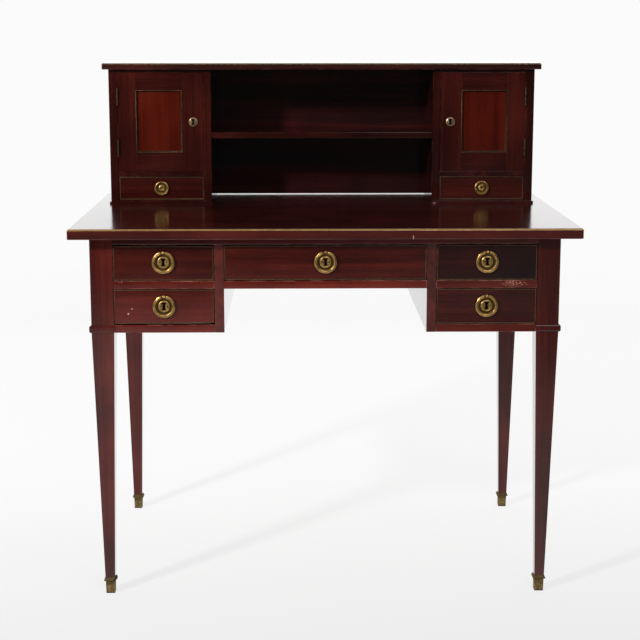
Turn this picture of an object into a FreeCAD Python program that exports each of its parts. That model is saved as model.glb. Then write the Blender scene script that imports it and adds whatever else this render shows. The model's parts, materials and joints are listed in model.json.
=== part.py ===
import FreeCAD, Part
import os
import re

# A lady's writing desk with a gallery: a table on four tapered legs, five drawers round a kneehole,
# and on the table's back edge two small cupboards with a drawer each, on either side of open shelves.
# Millimetres. X runs to the right, Y to the back and Z up.
# The origin is on the floor, under the middle of the table.

doc = FreeCAD.newDocument("writing_desk")
dims = doc.addObject("Spreadsheet::Sheet", "dims")

desk_sizes = {
    "table_width": 1005,
    "table_depth": 664,
    "table_height": 760,
    "table_thickness": 20.5,
    "top_corner_radius": 4,
    "strip_width": 3.5,  # brass strip let into the top arris of the two tops
    "strip_depth": 3,
    "side_overhang": 38.4,
    "front_overhang": 37,
    "back_overhang": 13,
    "leg_width": 45,
    "toe_width": 18,
    "collar_height": 15,
    "collar_projection": 4,
    "sabot_height": 25,  # brass toe cap up to its lip
    "sabot_floor": 3,
    "sabot_wall": 1.6,
    "lip_height": 6,
    "lip_projection": 3.5,
    "lip_edge": 0.4,
    "panel_inset": 3,  # panels stand this far behind the leg faces
    "end_panel_thickness": 18,
    "back_thickness": 12,
    "kneehole_width": 401,
    "kneehole_panel_thickness": 19,
    "top_rail_height": 14.8,
    "rail_height": 16,
    "runner_width": 14,
    "guide_height": 30,
    "kicker_width": 44,
}
drawer_sizes = {
    "drawer_height": 72,  # height of the opening
    "drawer_gap": 1,
    "drawer_front_thickness": 18,
    "drawer_side_thickness": 9,
    "drawer_side_drop": 4,
    "drawer_back_drop": 12,
    "drawer_bottom_lift": 6,
    "drawer_bottom_thickness": 6,
    "drawer_back_room": 70,  # free space behind a closed drawer
    "small_drawer_height": 52.5,
    "small_front_thickness": 14,
    "small_side_thickness": 7,
    "small_bottom_lift": 4,
    "small_bottom_thickness": 4,
    "small_back_room": 10,
}
gallery_sizes = {
    "gallery_width": 934,
    "gallery_depth": 207.5,
    "gallery_height": 308.2,
    "gallery_top_thickness": 13.7,
    "gallery_overhang": 13,
    "gallery_end_thickness": 18.5,
    "gallery_back_thickness": 8,
    "gallery_back_lift": 1.6,  # light shows under the back board
    "partition_thickness": 17,
    "cupboard_width": 187.7,
    "cupboard_floor_thickness": 9.3,
    "base_height": 8.4,
    "plinth_height": 5.5,
    "plinth_projection": 3,
    "header_height": 5.7,
    "shelf_thickness": 12.3,
    "shelf_height": 157,  # top of the shelf above the table
    "shelf_inset": 2,
    "stop_width": 8,
    "stop_thickness": 6,
}
door_sizes = {
    "door_gap": 0.75,
    "door_thickness": 18,
    "hinge_stile": 39,
    "lock_stile": 45.5,
    "door_top_rail": 38.5,
    "door_bottom_rail": 42,
    "door_panel_thickness": 7,
    "door_panel_recess": 5,
    "panel_tongue": 5,
    "hinge_length": 38,
    "hinge_offset": 53.5,  # door edge to the middle of a hinge
    "hinge_barrel_radius": 2.2,
    "hinge_standoff": 0.4,
    "hinge_leaf_thickness": 1.2,
    "hinge_leaf_width": 15,
    "hinge_pin_radius": 1.1,
    "hinge_knuckle_gap": 0.25,
    "pin_clearance": 0.08,
}
brass_sizes = {
    "pull_rise": 1.6,  # middle of a large pull above the middle of its drawer
    "ring_diameter": 45,  # outside of the large ring pulls
    "ring_wire": 5.5,
    "rosette_diameter": 41,
    "rosette_thickness": 1.6,
    "boss_diameter": 24,
    "boss_height": 5,
    "small_ring_diameter": 31.5,
    "small_ring_wire": 4,
    "small_rosette_diameter": 28.5,
    "small_boss_diameter": 14,
    "small_boss_height": 4.5,
    "ring_clearance": 0.4,
    "ring_pin_radius": 1.1,
    "ring_pin_seat": 2.5,
    "knuckle_width": 5,
    "escutcheon_diameter": 21.5,
    "escutcheon_thickness": 2.2,
    "escutcheon_setback": 21.5,  # free edge of the door to the keyhole
    "escutcheon_rise": 110,  # bottom of the door opening to the keyhole
    "keyhole_width": 4,
    "keyhole_height": 13,
    "door_keyhole_height": 9,
    "lock_width": 50,
    "lock_depth": 10,
    "lock_drop": 14,
    "door_lock_width": 32,
    "door_lock_height": 46,
    "bolt_width": 20,
    "bolt_thickness": 5,
    "bolt_length": 20,
    "bolt_clearance": 0.3,
    "bolt_inset": 0.5,
    "bolt_throw": 6.5,
    "door_bolt_width": 10,
    "door_bolt_rise": 13,  # middle of the door bolt above the keyhole
}

row = 0
for sizes in (desk_sizes, drawer_sizes, gallery_sizes, door_sizes, brass_sizes):
    for alias, value in sizes.items():
        row += 1
        dims.set(f"A{row}", alias)
        dims.set(f"B{row}", str(value))
        dims.setAlias(f"B{row}", alias)
doc.recompute()

# Heights, faces and edges that several pieces share, as expressions on the sheet
top_under = "(table_height - table_thickness)"
front = "(front_overhang - table_depth / 2)"
back = "(table_depth / 2 - back_overhang)"
leg_outer = "(table_width / 2 - side_overhang)"
leg_inner = f"({leg_outer} - leg_width)"
rail_back = f"({front} + leg_width)"
upper_top = f"({top_under} - top_rail_height)"
upper_low = f"({upper_top} - drawer_height)"
lower_top = f"({upper_low} - rail_height)"
lower_low = f"({lower_top} - drawer_height)"
pedestal_low = f"({lower_low} - rail_height)"
panel_inner = "(kneehole_width / 2)"
panel_outer = f"({panel_inner} + kneehole_panel_thickness)"
end_inner = f"({leg_outer} - panel_inset - end_panel_thickness)"
back_inner = f"({back} - panel_inset - back_thickness)"
sabot_top = "(sabot_height + lip_height)"

gallery_front = f"({back} - gallery_depth)"
gallery_back_inner = f"({back} - gallery_back_thickness)"
gallery_under = "(table_height + gallery_height - gallery_top_thickness)"
cupboard_outer = "(gallery_width / 2 - gallery_end_thickness)"
cupboard_inner = f"({cupboard_outer} - cupboard_width)"
partition_inner = f"({cupboard_inner} - partition_thickness)"
base_top = "(table_height + base_height)"
small_top = f"({base_top} + small_drawer_height)"
door_low = f"({small_top} + cupboard_floor_thickness)"
door_top = f"({gallery_under} - header_height)"
door_back = f"({gallery_front} + door_thickness)"

nodes = []
turns = {
    "x": FreeCAD.Rotation(FreeCAD.Vector(0, 1, 0), 90),
    "y": FreeCAD.Rotation(FreeCAD.Vector(1, 0, 0), -90),
    "z": FreeCAD.Rotation(),
}


def bind(thing, **settings):
    """Ties properties to the sheet; in the texts every word is an alias."""
    for path, text in settings.items():
        expression = re.sub(r"[a-z]\w*", lambda word: "dims." + word.group(0), text)
        thing.setExpression(path.replace("__", "."), expression)


def place(thing, x, y, z):
    bind(thing, Placement__Base__x=x, Placement__Base__y=y, Placement__Base__z=z)


def board(name, across, deep, tall):
    """A plain board between two faces in each direction."""
    thing = doc.addObject("Part::Box", name)
    spans = {"Length": across, "Width": deep, "Height": tall}
    bind(thing, **{size: f"({high}) - ({low})" for size, (low, high) in spans.items()})
    place(thing, across[0], deep[0], tall[0])
    return thing


def rod(name, radius, length, start, along):
    """A round bar from its start point along one axis."""
    thing = doc.addObject("Part::Cylinder", name)
    thing.Placement.Rotation = turns[along]
    bind(thing, Radius=radius, Height=length)
    place(thing, *start)
    return thing


def frustum(name, centre, low, low_width, high, high_width):
    """A square tapered block, standing on its centre, from one height and width to another."""
    thing = doc.addObject("Part::Wedge", name)
    thing.Placement.Rotation = FreeCAD.Rotation(FreeCAD.Vector(1, 0, 0), 90)
    bind(thing, Ymin=low, Ymax=high)
    for level, width in (("", low_width), ("2", high_width)):
        for edge in "XZ":
            bind(thing, **{f"{edge}{level}min": f"-({width}) / 2", f"{edge}{level}max": f"({width}) / 2"})
    place(thing, centre[0], centre[1], "0")
    return thing


def fused(name, pieces):
    thing = doc.addObject("Part::MultiFuse", name)
    thing.Shapes = pieces
    thing.Refine = True
    return thing


def cut(name, base, *tools):
    thing = doc.addObject("Part::Cut", name)
    thing.Base = base
    thing.Tool = tools[0] if len(tools) == 1 else fused(name + "_tools", list(tools))
    return thing


def common(name, base, tool):
    thing = doc.addObject("Part::Common", name)
    thing.Base = base
    thing.Tool = tool
    return thing


def group(name, pieces):
    thing = doc.addObject("Part::Compound", name)
    thing.Links = pieces
    return thing


def rounded(name, base, radius, chosen):
    """Rounds the straight edges of a board whose midpoints are chosen."""
    doc.recompute()
    numbers = [i for i, edge in enumerate(base.Shape.Edges, start=1) if chosen(edge)]
    thing = doc.addObject("Part::Fillet", name)
    thing.Base = base
    thing.Edges = [(i, radius, radius) for i in numbers]
    return thing


def node(thing):
    nodes.append(thing)
    return thing


def at(side, text):
    return text if side == "right" else f"(-{text})"


def span(side, low, high):
    return (low, high) if side == "right" else (f"-{high}", f"-{low}")


def around(middle, width):
    return f"({middle} - ({width}) / 2)", f"({middle} + ({width}) / 2)"


def is_upright(edge):
    first, last = edge.firstVertex().Point, edge.lastVertex().Point
    return abs(first.z - last.z) > max(abs(first.x - last.x), abs(first.y - last.y))


# The two tops, each with a brass strip let into the top arris of its front and ends
def edged_top(name, across, deep, tall):
    blank = board(name + "_blank", across, deep, tall)
    slab = rounded(name + "_slab", blank, dims.top_corner_radius, is_upright)
    strip_band = board(name + "_strip_band", across, deep, (f"{tall[1]} - strip_depth", tall[1]))
    field_across = (f"{across[0]} + strip_width", f"{across[1]} - strip_width")
    field_deep = (f"{deep[0]} + strip_width", f"{deep[1]} + strip_width")
    field_tall = (f"{tall[1]} - 2 * strip_depth", f"{tall[1]} + strip_depth")
    field = board(name + "_field", field_across, field_deep, field_tall)
    strip = cut(name + "_strip", common(name + "_band", slab, strip_band), field)
    node(cut(name, slab, strip))
    return strip


table_strip = edged_top(
    "table_top",
    ("(-table_width / 2)", "(table_width / 2)"),
    ("(-table_depth / 2)", "(table_depth / 2)"),
    (top_under, "table_height"),
)
gallery_strip = edged_top(
    "gallery_top",
    ("(-gallery_width / 2 - gallery_overhang)", "(gallery_width / 2 + gallery_overhang)"),
    (f"({gallery_front} - gallery_overhang)", back),
    (gallery_under, "(table_height + gallery_height)"),
)
node(group("edge_strips", [table_strip, gallery_strip]))


# Legs: a square post beside the drawers, a half-round collar under it, then a taper into a brass toe cap
def width_at(height, wall="0"):
    return f"(toe_width + (leg_width - toe_width) * {height} / {pedestal_low} - 2 * {wall})"


def leg(name, side, place_deep, collar_deep):
    post_across = span(side, leg_inner, leg_outer)
    post = board(name + "_post", post_across, place_deep, (pedestal_low, top_under))
    collar_across = span(side, leg_inner, f"({leg_outer} + collar_projection)")
    collar_tall = (pedestal_low, f"({pedestal_low} + collar_height)")
    band = board(name + "_band", collar_across, collar_deep, collar_tall)
    middle = (at(side, f"({leg_outer} - leg_width / 2)"), f"({place_deep[0]} + leg_width / 2)")
    doc.recompute()
    post_centre = post.Shape.CenterOfGravity

    def is_outside_arris(edge):
        point = edge.CenterOfMass - post_centre
        reach = dims.leg_width / 2 + dims.collar_projection / 2
        return not is_upright(edge) and max(abs(point.x), abs(point.y)) > reach

    collar = rounded(name + "_collar", band, dims.collar_projection, is_outside_arris)
    taper = frustum(name + "_taper", middle, sabot_top, width_at(sabot_top), pedestal_low, "leg_width")
    toe_low = width_at("sabot_floor", "sabot_wall")
    toe_high = width_at(sabot_top, "sabot_wall")
    toe = frustum(name + "_toe", middle, "sabot_floor", toe_low, sabot_top, toe_high)
    return fused(name, [post, collar, taper, toe]), toe, middle


def sabot(name, toe, middle):
    cap = frustum(name + "_cap", middle, "0", "toe_width", sabot_top, width_at(sabot_top))
    lip_low = f"{width_at('sabot_height')} + 2 * lip_projection"
    lip_high = f"{width_at(sabot_top)} + 2 * lip_edge"
    lip = frustum(name + "_lip", middle, "sabot_height", lip_low, sabot_top, lip_high)
    return cut(name, fused(name + "_outside", [cap, lip]), toe)


leg_places = {
    "front": ((front, rail_back), (f"({front} - collar_projection)", rail_back)),
    "back": ((f"({back} - leg_width)", back), (f"({back} - leg_width)", f"({back} + collar_projection)")),
}
sabots = []
for end, (place_deep, collar_deep) in leg_places.items():
    pair = []
    for side in ("left", "right"):
        name = f"{end}_{side}"
        post, toe, middle = leg(name + "_leg", side, place_deep, collar_deep)
        pair.append(post)
        sabots.append(sabot(name + "_sabot", toe, middle))
    node(group(f"{end}_legs", pair))
node(group("leg_sabots", sabots))


# Desk carcass
def pairs(name, low, high, deep, tall):
    return [board(f"{name}_{side}", span(side, low, high), deep, tall) for side in ("left", "right")]


carcass_tall = (pedestal_low, top_under)
end_outer = f"({leg_outer} - panel_inset)"
end_deep = (rail_back, f"({back} - leg_width)")
node(group("end_panels", pairs("end_panel", end_inner, end_outer, end_deep, carcass_tall)))
knee_deep = (front, back_inner)
knee_panels = pairs("kneehole_panel", panel_inner, panel_outer, knee_deep, (pedestal_low, upper_top))
node(group("kneehole_panels", knee_panels))
back_deep = (back_inner, f"({back} - panel_inset)")
pedestal_backs = pairs("pedestal_back", panel_inner, leg_inner, back_deep, carcass_tall)
apron = board("back_apron", (f"-{panel_inner}", panel_inner), back_deep, (lower_top, top_under))
node(group("desk_back", pedestal_backs + [apron]))


# Drawers. A large one has a lock whose bolt rises into the rail above it.
def key_slot(name, x, z, height, deep):
    return board(name, around(x, "keyhole_width"), deep, around(z, height))


def drawer_box(name, across, tall, face, kind, length_end):
    side_wall = f"{kind}_side_thickness"
    bottom_low = f"({tall[0]} + {kind}_bottom_lift)"
    bottom = (bottom_low, f"({bottom_low} + {kind}_bottom_thickness)")
    low, high = f"({across[0]} + drawer_gap)", f"({across[1]} - drawer_gap)"
    inner = (f"({low} + {side_wall})", f"({high} - {side_wall})")
    start = f"({face} + {kind}_front_thickness)"
    side_tall = (tall[0], f"({tall[1]} - drawer_gap - drawer_side_drop)")
    back_tall = (bottom[1], f"({tall[1]} - drawer_gap - drawer_back_drop)")
    return group(
        name + "_drawer_box",
        [
            board(name + "_box_left", (low, inner[0]), (start, length_end), side_tall),
            board(name + "_box_right", (inner[1], high), (start, length_end), side_tall),
            board(name + "_box_back", inner, (f"({length_end} - {side_wall})", length_end), back_tall),
            board(name + "_box_bottom", inner, (start, length_end), bottom),
        ],
    )


def ring_pull(name, x, z, face, kind, keyhole=None):
    """A rosette with a boss and an eye at its top, and the ring that hangs from the eye's pin."""
    wire = f"{kind}ring_wire"
    mean = f"(({kind}ring_diameter - {wire}) / 2)"
    plate_face = f"({face} - rosette_thickness)"
    ring_y = f"({plate_face} - ring_clearance - {wire} / 2)"
    eye_z = f"({z} + {mean})"
    knuckle_low = f"({x} - knuckle_width / 2)"
    boss_face = f"({face} - {kind}boss_height)"
    radius = f"({kind}rosette_diameter / 2)"
    rosette = rod(name + "_rosette", radius, "rosette_thickness", (x, plate_face, z), "y")
    boss = rod(name + "_boss", f"{kind}boss_diameter / 2", f"{kind}boss_height", (x, boss_face, z), "y")
    eye = rod(name + "_eye", f"{wire} / 2", "knuckle_width", (knuckle_low, ring_y, eye_z), "x")
    neck_deep = (ring_y, f"({face} - rosette_thickness / 2)")
    neck_tall = (f"({eye_z} - {wire} / 2)", f"({z} + {radius} - ring_clearance)")
    neck = board(name + "_neck", around(x, "knuckle_width"), neck_deep, neck_tall)
    bore_start = (f"({x} - knuckle_width)", ring_y, eye_z)
    bore = rod(name + "_bore", "ring_pin_radius + pin_clearance", "2 * knuckle_width", bore_start, "x")
    cutters = [bore]
    if keyhole:
        cutters.append(key_slot(name + "_keyhole", x, z, keyhole, (boss_face, face)))
    plate = cut(name + "_plate", fused(name + "_plate_blank", [rosette, boss, eye, neck]), *cutters)

    hoop = doc.addObject("Part::Torus", name + "_hoop")
    hoop.Placement.Rotation = turns["y"]
    bind(hoop, Radius1=mean, Radius2=f"{wire} / 2")
    place(hoop, x, ring_y, z)
    gap = "knuckle_width + 2 * ring_clearance"
    twice = f"2 * {wire}"
    mouth = board(name + "_mouth", around(x, gap), around(ring_y, twice), around(eye_z, twice))
    pin_length = f"({gap} + 2 * ring_pin_seat)"
    pin_start = (f"({x} - {pin_length} / 2)", ring_y, eye_z)
    pin = rod(name + "_pin", "ring_pin_radius", pin_length, pin_start, "x")
    ring = fused(name + "_drawer_ring", [cut(name + "_open_hoop", hoop, mouth), pin])
    return plate, ring


def locked_drawer(name, across, tall):
    x = f"(({across[0]} + {across[1]}) / 2)"
    z = f"(({tall[0]} + {tall[1]}) / 2 + pull_rise)"
    front_top = f"({tall[1]} - drawer_gap)"
    front_back = f"({front} + drawer_front_thickness)"
    front_across = (f"({across[0]} + drawer_gap)", f"({across[1]} - drawer_gap)")
    front_tall = (f"({tall[0]} + drawer_gap)", front_top)
    blank = board(name + "_front_blank", front_across, (front, front_back), front_tall)
    case_deep = (f"({front_back} - lock_depth)", front_back)
    case_tall = (f"({z} - lock_drop)", front_top)
    pocket = board(name + "_lock_pocket", around(x, "lock_width"), case_deep, case_tall)
    slot = key_slot(name + "_slot", x, z, "keyhole_height", (front, front_back))
    node(cut(name + "_drawer_front", blank, pocket, slot))
    node(drawer_box(name, across, tall, front, "drawer", f"({back_inner} - drawer_back_room)"))

    bolt_y = f"({front_back} - lock_depth / 2)"
    bolt_top = f"({front_top} - bolt_inset)"
    bolt_low = f"({bolt_top} - bolt_length)"
    way_across = around(x, "bolt_width + 2 * bolt_clearance")
    way_deep = around(bolt_y, "bolt_thickness + 2 * bolt_clearance")
    way = board(name + "_bolt_way", way_across, way_deep, (f"({bolt_low} - bolt_clearance)", front_top))
    case = cut(name + "_lock_case", pocket, slot, way)
    plate, ring = ring_pull(name, x, z, front, "", "keyhole_height")
    node(group(name + "_drawer_lock", [plate, case]))
    node(ring)
    bolt_deep = around(bolt_y, "bolt_thickness")
    node(board(name + "_drawer_bolt", around(x, "bolt_width"), bolt_deep, (bolt_low, bolt_top)))
    return board(name + "_bolt_mortise", way_across, way_deep, (tall[1], f"({tall[1]} + bolt_throw)"))


upper = (upper_low, upper_top)
lower = (lower_low, lower_top)
knee = (f"-{panel_inner}", panel_inner)
mortises = {"centre": locked_drawer("centre", knee, upper)}
for side in ("left", "right"):
    pedestal = span(side, panel_outer, leg_inner)
    mortises["upper_" + side] = locked_drawer("upper_" + side, pedestal, upper)
    mortises["lower_" + side] = locked_drawer("lower_" + side, pedestal, lower)

# Front rails, with a mortise over each lock, and the strips that the drawers run on and under
rail_deep = (front, rail_back)
top_rail = board("top_rail_blank", (f"-{leg_inner}", leg_inner), rail_deep, (upper_top, top_under))
top_mortises = [mortises[name] for name in ("centre", "upper_left", "upper_right")]
rails = [cut("top_rail", top_rail, *top_mortises)]
rails.append(board("centre_rail", knee, rail_deep, (lower_top, upper_low)))
runners = []
for side in ("left", "right"):
    pedestal = span(side, panel_outer, leg_inner)
    middle_rail = board(f"{side}_middle_rail_blank", pedestal, rail_deep, (lower_top, upper_low))
    rails.append(cut(f"{side}_middle_rail", middle_rail, mortises["lower_" + side]))
    rails.append(board(f"{side}_bottom_rail", pedestal, rail_deep, (pedestal_low, lower_low)))
    run_deep = (rail_back, back_inner)
    guide_deep = (rail_back, f"({back} - leg_width)")
    inner_run = span(side, panel_outer, f"({panel_outer} + runner_width)")
    outer_run = span(side, f"({leg_inner} - runner_width)", leg_inner)
    for level, low, high in (("upper", lower_top, upper_low), ("lower", pedestal_low, lower_low)):
        runners.append(board(f"{side}_{level}_inner_runner", inner_run, run_deep, (low, high)))
        runners.append(board(f"{side}_{level}_outer_runner", outer_run, run_deep, (low, high)))
        guide_tall = (low, f"({high} + guide_height)")
        guide_across = span(side, leg_inner, end_inner)
        runners.append(board(f"{side}_{level}_guide", guide_across, guide_deep, guide_tall))
    knee_run = span(side, f"({panel_inner} - runner_width)", panel_inner)
    runners.append(board(f"{side}_centre_runner", knee_run, run_deep, (lower_top, upper_low)))
    kicker_middle = at(side, f"({panel_inner} + kneehole_panel_thickness / 2)")
    kicker_across = around(kicker_middle, "kicker_width")
    runners.append(board(f"{side}_kicker", kicker_across, run_deep, (upper_top, top_under)))
node(group("front_rails", rails))
node(group("drawer_runners", runners))


# Gallery doors, framed round a sunk panel and hung on two butt hinges
def hinge(name, side, z):
    """The leaf on the gallery end with its pin, and the leaf on the door that turns round it."""
    x = at(side, f"({cupboard_outer} - door_gap / 2)")
    y = f"({gallery_front} - hinge_barrel_radius - hinge_standoff)"
    low, high = f"({z} - hinge_length / 2)", f"({z} + hinge_length / 2)"
    inner_low, inner_high = f"({z} - hinge_length / 6)", f"({z} + hinge_length / 6)"
    seat_deep = (gallery_front, f"({gallery_front} + hinge_leaf_width)")
    tab_deep = (y, gallery_front)
    end_across = span(side, cupboard_outer, f"({cupboard_outer} + hinge_leaf_thickness)")
    edge = f"({cupboard_outer} - door_gap)"
    door_across = span(side, f"({edge} - hinge_leaf_thickness)", edge)

    end_seat = board(name + "_end_seat", end_across, seat_deep, (low, high))
    fixed = [end_seat, rod(name + "_pin", "hinge_pin_radius", "hinge_length", (x, y, low), "z")]
    for part, start, stop in (("low", low, inner_low), ("high", inner_high, high)):
        fixed.append(board(f"{name}_{part}_tab", end_across, tab_deep, (start, stop)))
        knuckle_length = f"{stop} - {start}"
        fixed.append(rod(f"{name}_{part}_knuckle", "hinge_barrel_radius", knuckle_length, (x, y, start), "z"))

    door_seat = board(name + "_door_seat", door_across, seat_deep, (low, high))
    start, stop = f"({inner_low} + hinge_knuckle_gap)", f"({inner_high} - hinge_knuckle_gap)"
    tab = board(name + "_door_tab", door_across, tab_deep, (start, stop))
    knuckle = rod(name + "_door_knuckle", "hinge_barrel_radius", f"{stop} - {start}", (x, y, start), "z")
    bore = rod(name + "_bore", "hinge_pin_radius + pin_clearance", "hinge_length", (x, y, low), "z")
    door_leaf = cut(name + "_door_leaf", fused(name + "_door_leaf_blank", [door_seat, tab, knuckle]), bore)
    return fused(name + "_end_leaf", fixed), door_leaf, end_seat, door_seat


def door(side):
    """Makes the door's own pieces; returns the fixed hinge leaves, their seats and the bolt's mortise."""
    name = side + "_door"
    hinges = []
    for level, z in (("upper", f"({door_top} - hinge_offset)"), ("lower", f"({door_low} + hinge_offset)")):
        hinges.append(hinge(f"{name}_{level}_hinge", side, z))
    fixed_leaves, door_leaves, end_seats, door_seats = zip(*hinges)

    inner, outer = f"({cupboard_inner} + door_gap)", f"({cupboard_outer} - door_gap)"
    low, high = f"({door_low} + door_gap)", f"({door_top} - door_gap)"
    lock_line, hinge_line = f"({inner} + lock_stile)", f"({outer} - hinge_stile)"
    rail_line, head_line = f"({low} + door_bottom_rail)", f"({high} - door_top_rail)"
    deep = (gallery_front, door_back)
    panel_front = f"({gallery_front} + door_panel_recess)"
    panel_across = span(side, f"({lock_line} - panel_tongue)", f"({hinge_line} + panel_tongue)")
    panel_tall = (f"({rail_line} - panel_tongue)", f"({head_line} + panel_tongue)")
    panel_deep = (panel_front, f"({panel_front} + door_panel_thickness)")
    panel = board(name + "_panel", panel_across, panel_deep, panel_tall)

    key_x = at(side, f"({inner} + escutcheon_setback)")
    key_z = f"({door_low} + escutcheon_rise)"
    case_deep = (f"({door_back} - lock_depth)", door_back)
    case_across = span(side, inner, f"({inner} + door_lock_width)")
    pocket = board(name + "_lock_pocket", case_across, case_deep, around(key_z, "door_lock_height"))
    slot = key_slot(name + "_slot", key_x, key_z, "door_keyhole_height", deep)

    bolt_y = f"({door_back} - lock_depth / 2)"
    bolt_z = f"({key_z} + door_bolt_rise)"
    bolt_edge = f"({inner} + bolt_inset)"
    way_deep = around(bolt_y, "bolt_thickness + 2 * bolt_clearance")
    way_tall = around(bolt_z, "door_bolt_width + 2 * bolt_clearance")
    way_across = span(side, inner, f"({bolt_edge} + bolt_length + bolt_clearance)")
    way = board(name + "_bolt_way", way_across, way_deep, way_tall)
    bolt_across = span(side, bolt_edge, f"({bolt_edge} + bolt_length)")
    mortise_across = span(side, f"({cupboard_inner} - bolt_throw)", cupboard_inner)

    lock_blank = board(name + "_lock_stile_blank", span(side, inner, lock_line), deep, (low, high))
    hinge_blank = board(name + "_hinge_stile_blank", span(side, hinge_line, outer), deep, (low, high))
    rail_across = span(side, lock_line, hinge_line)
    top_blank = board(name + "_top_rail_blank", rail_across, deep, (head_line, high))
    bottom_blank = board(name + "_bottom_rail_blank", rail_across, deep, (low, rail_line))
    frame = [
        cut(name + "_lock_stile", lock_blank, panel, pocket, slot),
        cut(name + "_hinge_stile", hinge_blank, panel, *door_seats),
        cut(name + "_top_rail", top_blank, panel),
        cut(name + "_bottom_rail", bottom_blank, panel),
    ]
    node(group(name + "_frame", frame))
    node(panel)
    plate_face = f"({gallery_front} - escutcheon_thickness)"
    disc_start = (key_x, plate_face, key_z)
    disc = rod(name + "_disc", "escutcheon_diameter / 2", "escutcheon_thickness", disc_start, "y")
    plate_deep = (plate_face, gallery_front)
    plate_slot = key_slot(name + "_plate_slot", key_x, key_z, "door_keyhole_height", plate_deep)
    case = cut(name + "_lock_case", pocket, slot, way)
    node(group(name + "_lock", [cut(name + "_escutcheon", disc, plate_slot), case]))
    bolt_deep = around(bolt_y, "bolt_thickness")
    node(board(name + "_bolt", bolt_across, bolt_deep, around(bolt_z, "door_bolt_width")))
    node(group(name + "_hinge_leaves", list(door_leaves)))
    return list(fixed_leaves), end_seats, board(name + "_mortise", mortise_across, way_deep, way_tall)


# Gallery case, and the small drawers that run on its base boards
hinge_leaves = []
ends = []
partitions = []
cupboard_boards = []
case_deep = (gallery_front, gallery_back_inner)
for side in ("left", "right"):
    fixed_leaves, end_seats, mortise = door(side)
    hinge_leaves += fixed_leaves
    end_across = span(side, cupboard_outer, "(gallery_width / 2)")
    end_blank = board(f"{side}_end_blank", end_across, (gallery_front, back), ("table_height", gallery_under))
    ends.append(cut(f"{side}_end", end_blank, *end_seats))
    partition_across = span(side, partition_inner, cupboard_inner)
    blank = board(f"{side}_partition_blank", partition_across, case_deep, ("table_height", gallery_under))
    partitions.append(cut(f"{side}_partition", blank, mortise))

    cupboard = span(side, cupboard_inner, cupboard_outer)
    plinth_deep = (f"({gallery_front} - plinth_projection)", gallery_front)
    plinth_outer = "(gallery_width / 2 + plinth_projection)"
    plinth_across = span(side, partition_inner, plinth_outer)
    return_across = span(side, "(gallery_width / 2)", plinth_outer)
    plinth_tall = ("table_height", "(table_height + plinth_height)")
    stop_across = span(side, cupboard_inner, f"({cupboard_inner} + stop_width)")
    stop_deep = (door_back, f"({door_back} + stop_thickness)")
    cupboard_boards += [
        board(f"{side}_base", cupboard, case_deep, ("table_height", base_top)),
        board(f"{side}_floor", cupboard, case_deep, (small_top, door_low)),
        board(f"{side}_header", cupboard, (gallery_front, door_back), (door_top, gallery_under)),
        board(f"{side}_door_stop", stop_across, stop_deep, (door_low, gallery_under)),
        board(f"{side}_plinth", plinth_across, plinth_deep, plinth_tall),
        board(f"{side}_plinth_return", return_across, (gallery_front, back), plinth_tall),
    ]

    name = "small_" + side
    tall = (base_top, small_top)
    x = f"(({cupboard[0]} + {cupboard[1]}) / 2)"
    z = f"(({base_top} + {small_top}) / 2)"
    front_across = (f"({cupboard[0]} + drawer_gap)", f"({cupboard[1]} - drawer_gap)")
    front_deep = (gallery_front, f"({gallery_front} + small_front_thickness)")
    front_tall = (f"({base_top} + drawer_gap)", f"({small_top} - drawer_gap)")
    node(board(name + "_drawer_front", front_across, front_deep, front_tall))
    length_end = f"({gallery_back_inner} - small_back_room)"
    node(drawer_box(name, cupboard, tall, gallery_front, "small", length_end))
    plate, ring = ring_pull(name, x, z, gallery_front, "small_")
    plate.Label = name + "_drawer_pull"
    node(plate)
    node(ring)
node(group("gallery_ends", ends))
node(group("gallery_partitions", partitions))
node(group("cupboard_boards", cupboard_boards))
node(group("hinge_end_leaves", hinge_leaves))
back_across = (f"-{cupboard_outer}", cupboard_outer)
back_tall = ("(table_height + gallery_back_lift)", gallery_under)
node(board("gallery_back", back_across, (gallery_back_inner, back), back_tall))
shelf_across = (f"-{partition_inner}", partition_inner)
shelf_deep = (f"({gallery_front} + shelf_inset)", gallery_back_inner)
shelf_tall = ("(table_height + shelf_height - shelf_thickness)", "(table_height + shelf_height)")
node(board("gallery_shelf", shelf_across, shelf_deep, shelf_tall))

# Every object has to be sound before the pieces are written
doc.recompute()
for thing in doc.Objects:
    if "Invalid" in thing.State or "Error" in thing.State:
        raise RuntimeError(f"{thing.Label} failed: {thing.State}")
for thing in nodes:
    if thing.Shape.isNull() or not thing.Shape.isValid() or not thing.Shape.Solids:
        raise RuntimeError(f"{thing.Label} has no sound solid")

os.makedirs("parts", exist_ok=True)
for thing in nodes:
    thing.Shape.exportStep(f"parts/{thing.Label}.step")
    print(thing.Label, len(thing.Shape.Solids), "solids", round(thing.Shape.Volume / 1000, 2), "cm3")
print(len(nodes), "nodes")
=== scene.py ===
import json
import math

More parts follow.
